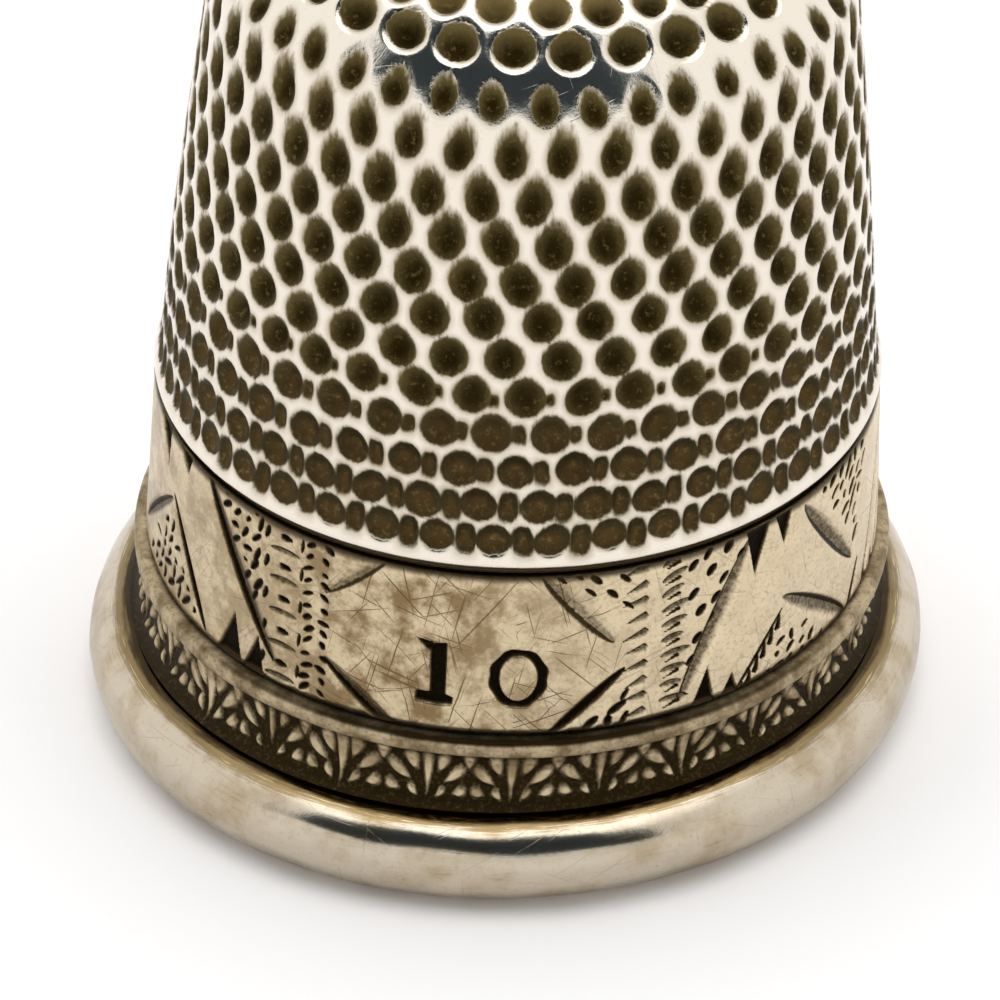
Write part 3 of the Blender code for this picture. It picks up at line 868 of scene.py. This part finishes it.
class Graph(Nodes):
    """A metal's shader nodes, fed by the fields on a skin's vertices and by noise."""

    def __init__(self, name):
        self.material = bpy.data.materials.new(name)
        self.material.use_nodes = True
        super().__init__(self.material.node_tree)
        self.shader = self.tree.nodes["Principled BSDF"]
        self.position = self.add("ShaderNodeTexCoord").outputs["Object"]
        self.uv = self.add("ShaderNodeUVMap", uv_map=UV_NAME).outputs["UV"]

    def field(self, name):
        return self.add("ShaderNodeAttribute", attribute_name=name).outputs["Fac"]

    def wobble(self, value, noise, amount):
        """The value moved up and down by the noise."""
        return self.plus(value, self.times(self.math("SUBTRACT", noise, 0.5), amount))

    def along(self, axis):
        """The place's X, Y or Z, in metres."""
        node = self.add("ShaderNodeSeparateXYZ")
        self.put(node.inputs["Vector"], self.position)
        return node.outputs[axis]

    def noise(self, per_mm, stretch=(1.0, 1.0, 1.0), detail=3.0, roughness=0.55, source=None):
        """Noise with that many lumps in a millimetre."""
        mapping = self.add("ShaderNodeMapping")
        self.put(mapping.inputs["Vector"], self.position if source is None else source)
        mapping.inputs["Scale"].default_value = [per_mm / MM * s for s in stretch]
        node = self.add("ShaderNodeTexNoise")
        self.put(node.inputs["Vector"], mapping.outputs["Vector"])
        node.inputs["Scale"].default_value = 1.0
        node.inputs["Detail"].default_value = detail
        node.inputs["Roughness"].default_value = roughness
        return node.outputs["Fac"]

    def flat_map(self, radius, along):
        """The unwrapped surface in metres, so that scratches can run straight across it."""
        mapping = self.add("ShaderNodeMapping")
        self.put(mapping.inputs["Vector"], self.uv)
        mapping.inputs["Scale"].default_value = (2 * math.pi * radius * MM, along * MM, 1.0)
        return mapping.outputs["Vector"]

    def scratches(self, source, turns, length=5.0, width=0.035, threshold=0.70):
        """Straight hairlines that run in several directions, as a mask."""
        found = None
        for index, turn in enumerate(turns):
            spin = self.add("ShaderNodeVectorRotate", rotation_type="Z_AXIS")
            self.put(spin.inputs["Vector"], source)
            spin.inputs["Angle"].default_value = turn
            shift = self.add("ShaderNodeVectorMath", operation="ADD")
            self.put(shift.inputs[0], spin.outputs["Vector"])
            shift.inputs[1].default_value = (0.013 * index, 0.029 * index, 0.0)
            lines = self.noise(1.0, (1.0 / length, 1.0 / (3.0 * width), 1.0), detail=1.0,
                               source=shift.outputs["Vector"])
            mask = self.ramp(lines, threshold, threshold + 0.05)
            found = mask if found is None else self.math("MAXIMUM", found, mask)
        return found

    def finish(self, colour, roughness, height, bump_mm, metallic=1.0):
        self.put(self.shader.inputs["Base Color"], colour)
        self.put(self.shader.inputs["Roughness"], roughness)
        self.put(self.shader.inputs["Metallic"], metallic)
        bump = self.add("ShaderNodeBump")
        self.put(bump.inputs["Height"], height)
        bump.inputs["Distance"].default_value = bump_mm * MM
        self.tree.links.new(bump.outputs["Normal"], self.shader.inputs["Normal"])
        return self.material


# bare metal, then the same metal dulled, then what has settled on it; some of them are painted shade, shadow
# and glints
SILVER = (0.775, 0.708, 0.615)
DIRT_AND_SHADE_SILVER = (0.330, 0.265, 0.160)
SPECKLED_SILVER = (0.420, 0.340, 0.230)
INNER_SILVER = (0.500, 0.440, 0.350)
BAND_SILVER = (0.600, 0.490, 0.320)
BRIGHT_BAND_SILVER = (0.780, 0.655, 0.460)
BAND_STAIN = (0.225, 0.150, 0.070)
BAND_GRAIN = (0.220, 0.150, 0.075)
HAIRLINE = (0.140, 0.090, 0.035)
FILLET_SILVER = (0.500, 0.405, 0.260)
FILLET_STAIN = (0.200, 0.145, 0.075)
FILLET_GRAIN = (0.130, 0.090, 0.040)
PETAL_SILVER = (0.560, 0.450, 0.290)
PETAL_STAIN = (0.290, 0.220, 0.120)
RIM_SILVER = (0.540, 0.470, 0.370)
RIM_STAIN = (0.420, 0.340, 0.230)
RIM_GRAIN = (0.280, 0.210, 0.120)
RIM_HAIRLINE = (0.220, 0.170, 0.100)
OLD_SOLDER = (0.225, 0.160, 0.075)
PAINTED_GLINT_GOLD = (0.620, 0.500, 0.300)
OLIVE = (0.120, 0.090, 0.032)
GOLDEN_OLIVE = (0.230, 0.170, 0.065)
BROWN_SPECK = (0.175, 0.125, 0.052)
COVE_SPECK = (0.085, 0.060, 0.024)
TARNISH = (0.085, 0.052, 0.018)
CUT_DIRT_AND_SHADE = (0.050, 0.034, 0.015)
DIMPLE_EDGE = (0.044, 0.034, 0.014)
GROOVE_DIRT = (0.040, 0.028, 0.012)
PAINTED_JOINT_SHADOW = (0.035, 0.022, 0.008)
DARK_TARNISH = (0.024, 0.015, 0.003)
COVE_DIRT_AND_SHADOW = (0.022, 0.014, 0.005)
BLACK = (0.006, 0.004, 0.002)


def shell_material():
    """Polished silver with dirt in the dimples: olive at the upper edges, nearly black in the middle.

    In the lowest rows it is the other way about: dark at the edges and brown, with specks, in the middle."""
    graph = Graph("dimpled_silver")
    pit, core, haze = graph.field("pit"), graph.field("core"), graph.field("haze")
    inner, groove = graph.field("inner"), graph.field("groove")
    streaks = graph.noise(7.0, (1.0, 1.0, 0.25), detail=4.0)
    grain = graph.noise(11.0, detail=4.0, roughness=0.7)
    crumbs = graph.noise(6.0, detail=5.0, roughness=0.75)
    blotch = graph.noise(0.35, detail=2.0)
    low_rows = graph.ramp(graph.along("Z"), 14.2 * MM, 12.0 * MM)

    ragged = graph.wobble(graph.wobble(core, crumbs, 1.1), streaks, 0.5)
    crown = graph.ramp(graph.along("Z"), 22.3 * MM, 22.9 * MM)
    pale = graph.mix(crown, OLIVE, GOLDEN_OLIVE)
    blackened = graph.times(graph.ramp(ragged, -0.30, 0.70), graph.ramp(crown, 0.0, 1.0, 1.0, 0.35))
    upper_rows = graph.mix(blackened, pale, DARK_TARNISH)
    speck = graph.ramp(crumbs, 0.52, 0.68)
    upper_rows = graph.mix(graph.times(speck, 0.45), upper_rows, GOLDEN_OLIVE)
    brown = graph.mix(speck, TARNISH, BROWN_SPECK)
    lower_rows = graph.mix(graph.ramp(ragged, -0.2, 0.80), DIMPLE_EDGE, brown)
    inside = graph.mix(low_rows, upper_rows, lower_rows)

    edge = graph.wobble(pit, streaks, 1.1)
    dirty = graph.ramp(edge, -0.34, 0.30)
    # painted shade: a grey-brown halo round each dimple, partly dirt and partly the shade of the land curving
    # into it, painted lighter towards the left and right sides
    halo_dirt_and_shade = graph.times(graph.math("POWER", haze, 1.6), graph.ramp(blotch, 0.30, 0.70, 0.55, 0.95))
    flank = graph.ramp(graph.math("ABSOLUTE", graph.along("X")), 4.5 * MM, 8.0 * MM, 1.0, 0.45)
    halo_dirt_and_shade = graph.times(halo_dirt_and_shade, flank)
    land = graph.mix(halo_dirt_and_shade, SILVER, DIRT_AND_SHADE_SILVER)
    land = graph.mix(graph.times(graph.ramp(grain, 0.58, 0.72), 0.25), land, SPECKLED_SILVER)
    colour = graph.mix(dirty, land, inside)
    colour = graph.mix(groove, colour, GROOVE_DIRT)
    colour = graph.mix(inner, colour, INNER_SILVER)
    rough = graph.ramp(dirty, 0.0, 1.0, 0.12, 0.55)
    rough = graph.wobble(rough, blotch, 0.08)
    rough = graph.plus(rough, graph.times(inner, 0.22), clamp=True)
    scratch = graph.scratches(graph.flat_map(8.3, 51.0), (0.3, 1.1, 1.9, 2.7), length=3.0)
    height = graph.plus(graph.times(grain, 0.35), graph.times(scratch, -0.12))
    height = graph.plus(height, graph.times(dirty, graph.times(crumbs, 2.5)))
    return graph.finish(colour, rough, height, 0.010, metallic=graph.math("SUBTRACT", 1.0, groove))


def band_material():
    """Worn silver, brown stains, fine scratches on the cartouche, dark dirt and painted shade in cuts and at
    edges.
    """
    graph = Graph("engraved_silver")
    cut, field, edge = graph.field("cut"), graph.field("field"), graph.field("edge")
    grain = graph.noise(9.0, detail=4.0, roughness=0.7)
    mottle = graph.noise(1.1, detail=5.0, roughness=0.65)
    flat = graph.flat_map(BAND_RADIUS, 10.0)
    turns = (0.35, 0.95, 1.35, 1.8, 2.35, 2.85)
    fine = graph.scratches(flat, turns, length=3.6, width=0.030, threshold=0.675)
    # the band is paler and less stained towards the right
    towards_right = graph.ramp(graph.along("X"), -2.0 * MM, 6.0 * MM)
    few = graph.math("SUBTRACT", 1.0, graph.times(towards_right, 0.65))
    fewer_far_left = graph.ramp(graph.along("X"), -3.5 * MM, -6.0 * MM, 1.0, 0.6)
    stains = graph.times(graph.times(graph.ramp(mottle, 0.39, 0.63), few), fewer_far_left)
    base = graph.mix(stains, BAND_SILVER, BAND_STAIN)
    base = graph.mix(graph.times(towards_right, 0.5), base, BRIGHT_BAND_SILVER)
    base = graph.mix(graph.ramp(grain, 0.49, 0.68, 0.0, 0.40), base, BAND_GRAIN)
    hairlines = graph.times(fine, graph.plus(graph.times(field, 0.60), 0.25))
    base = graph.mix(hairlines, base, HAIRLINE)
    # the dirt in the cuts, with the painted shade of their steep flanks
    dirt_and_shade = graph.wobble(cut, grain, 0.5)
    dark = graph.ramp(dirt_and_shade, 0.15, 0.70)
    colour = graph.mix(dark, base, CUT_DIRT_AND_SHADE)
    colour = graph.mix(graph.ramp(dirt_and_shade, 0.75, 1.0), colour, BLACK)
    # dirt and painted shade along the band's top and bottom edges
    colour = graph.mix(graph.times(edge, 0.9), colour, CUT_DIRT_AND_SHADE)
    rough = graph.wobble(graph.ramp(dark, 0.0, 1.0, 0.33, 0.6), mottle, 0.15)
    height = graph.plus(graph.times(grain, 0.5), graph.times(fine, -0.5))
    return graph.finish(colour, rough, height, 0.012)


def border_material():
    """A stained fillet over palmettes that are worn bright on a dark ground."""
    graph = Graph("border_silver")
    petal, zone, solder = graph.field("petal"), graph.field("zone"), graph.field("solder")
    grain = graph.noise(10.0, detail=4.0, roughness=0.7)
    mottle = graph.noise(1.3, detail=4.0, roughness=0.6)
    plain = graph.mix(graph.ramp(mottle, 0.36, 0.66), FILLET_SILVER, FILLET_STAIN)
    plain = graph.mix(graph.ramp(grain, 0.46, 0.70, 0.0, 0.6), plain, FILLET_GRAIN)
    raised = graph.ramp(graph.wobble(petal, grain, 0.9), -0.55, 0.50)
    worn = graph.mix(graph.ramp(mottle, 0.35, 0.65), PETAL_SILVER, PETAL_STAIN)
    ground = graph.mix(graph.ramp(grain, 0.50, 0.70, 0.0, 0.6), COVE_DIRT_AND_SHADOW, COVE_SPECK)
    pattern = graph.mix(raised, ground, worn)
    colour = graph.mix(zone, plain, pattern)
    # painted shadow at the border's foot and painted shade along the fillet's top
    painted_shadow = graph.ramp(graph.wobble(solder, mottle, 0.4), 0.15, 0.90)
    colour = graph.mix(painted_shadow, colour, COVE_DIRT_AND_SHADOW)
    rough = graph.ramp(raised, 0.0, 1.0, 0.55, 0.36)
    return graph.finish(colour, rough, grain, 0.010)


def rim_material():
    """Silver wire: polished on top, satin below, a golden-brown line of old solder at the joint, painted
    glints and shadow.
    """
    graph = Graph("rim_silver")
    solder, polish = graph.field("solder"), graph.field("polish")
    grain = graph.noise(8.0, detail=4.0, roughness=0.7)
    mottle = graph.noise(0.7, detail=5.0, roughness=0.6)
    flat = graph.flat_map(RIM_RADIUS, 7.7)
    fine = graph.scratches(flat, (0.15, 0.8, 1.6, 2.4, 3.0), length=2.6, width=0.03, threshold=0.70)
    base = graph.mix(graph.ramp(mottle, 0.42, 0.70), RIM_SILVER, RIM_STAIN)
    base = graph.mix(graph.ramp(grain, 0.54, 0.72, 0.0, 0.35), base, RIM_GRAIN)
    base = graph.mix(graph.times(fine, 0.25), base, RIM_HAIRLINE)
    ripples = graph.noise(1.0, (0.5, 7.0, 1.0), detail=4.0, roughness=0.7, source=flat)
    golden = graph.wobble(graph.wobble(solder, ripples, 0.9), mottle, 0.5)
    colour = graph.mix(graph.ramp(golden, 0.06, 0.42), base, OLD_SOLDER)
    # painted glints: bright gold streaks along the ripples stand in for the highlight on the wire's top
    colour = graph.mix(graph.ramp(ripples, 0.56, 0.66, 0.0, 0.8), colour,
                       graph.mix(graph.ramp(golden, 0.2, 0.6), colour, PAINTED_GLINT_GOLD))
    # painted shadow where the wire runs in under the border
    colour = graph.mix(graph.ramp(golden, 0.52, 0.92), colour, PAINTED_JOINT_SHADOW)
    rough = graph.wobble(graph.ramp(polish, 0.0, 1.0, 0.30, 0.15), mottle, 0.10)
    height = graph.plus(graph.times(grain, 0.4), graph.times(fine, -0.15))
    return graph.finish(colour, rough, height, 0.006)


# ==== Studio

FLOOR_SIZE = 6.0
FLOOR_COLOUR = (0.965, 0.957, 0.966)
SKY_SIDE = 1.17
SKY_TOP = 2.4
SKY_RISE = (45.0, 75.0)  # the light grows from the side's to the top's between these elevations
DARK_AZIMUTH = (-63.0, 46.0)
DARK_ELEVATION = (26.0, 64.0)
DARK_STRENGTH = 0.045
SKY_COLOUR = (1.0, 0.995, 0.985)
DARK_COLOUR = (0.62, 0.84, 1.0)


def studio_world():
    """Soft white light from everywhere, brighter overhead, with a dim patch where a camera would stand."""
    world = bpy.data.worlds.new("studio")
    bpy.context.scene.world = world
    world.use_nodes = True
    nodes = Nodes(world.node_tree)

    def within(value, limits, softness):
        low, high = limits
        return nodes.times(nodes.ramp(value, low - softness, low + softness),
                           nodes.ramp(value, high - softness, high + softness, 1.0, 0.0))

    direction = nodes.add("ShaderNodeSeparateXYZ")
    nodes.put(direction.inputs[0], nodes.add("ShaderNodeTexCoord").outputs["Generated"])
    x, y, z = direction.outputs
    elevation = nodes.math("DEGREES", nodes.math("ARCSINE", z))
    azimuth = nodes.math("DEGREES", nodes.math("ARCTAN2", x, nodes.times(y, -1.0)))
    sky = nodes.ramp(elevation, *SKY_RISE, SKY_SIDE, SKY_TOP)
    patch = nodes.times(within(azimuth, DARK_AZIMUTH, 4.0), within(elevation, DARK_ELEVATION, 3.0))
    background = world.node_tree.nodes["Background"]
    dimming = nodes.ramp(patch, 0.0, 1.0, 1.0, DARK_STRENGTH)
    nodes.put(background.inputs["Strength"], nodes.times(sky, dimming))
    nodes.put(background.inputs["Color"], nodes.mix(patch, SKY_COLOUR, DARK_COLOUR))


def studio_floor():
    material = bpy.data.materials.new("floor_white")
    material.use_nodes = True
    shader = material.node_tree.nodes["Principled BSDF"]
    shader.inputs["Base Color"].default_value = (*FLOOR_COLOUR, 1.0)
    shader.inputs["Roughness"].default_value = 0.9
    shader.inputs["Specular IOR Level"].default_value = 0.1
    half = FLOOR_SIZE / 2
    data = bpy.data.meshes.new("floor")
    data.from_pydata([(-half, -half, 0.0), (half, -half, 0.0), (half, half, 0.0), (-half, half, 0.0)], [],
                     [(0, 1, 2, 3)])
    data.materials.append(material)
    floor = linked("floor", data)


def studio_camera():
    elevation = math.radians(CAMERA_ELEVATION)
    data = bpy.data.cameras.new("camera")
    data.lens = CAMERA_LENS
    data.sensor_width = 36.0
    data.clip_start = 0.01
    data.clip_end = 20.0
    camera = linked("camera", data)
    forward = np.array([0.0, math.cos(elevation), -math.sin(elevation)])
    camera.location = (np.array(CAMERA_TARGET) - CAMERA_DISTANCE * forward) * MM
    camera.rotation_euler = (math.pi / 2 - elevation, 0.0, 0.0)
    bpy.context.scene.camera = camera


def place(piece, node, slot):
    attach(piece, "root")
    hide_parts(node)


place(dimpled_shell(shell_material()), "dimpled_shell", "shell_silver")
place(engraved_band(band_material()), "engraved_band", "band_silver")
place(palmette_border(border_material()), "palmette_border", "border_silver")
place(rim_ring(rim_material()), "rim_ring", "rim_silver")
studio_world()
studio_floor()
studio_camera()
bpy.context.scene.view_settings.view_transform = "Standard"
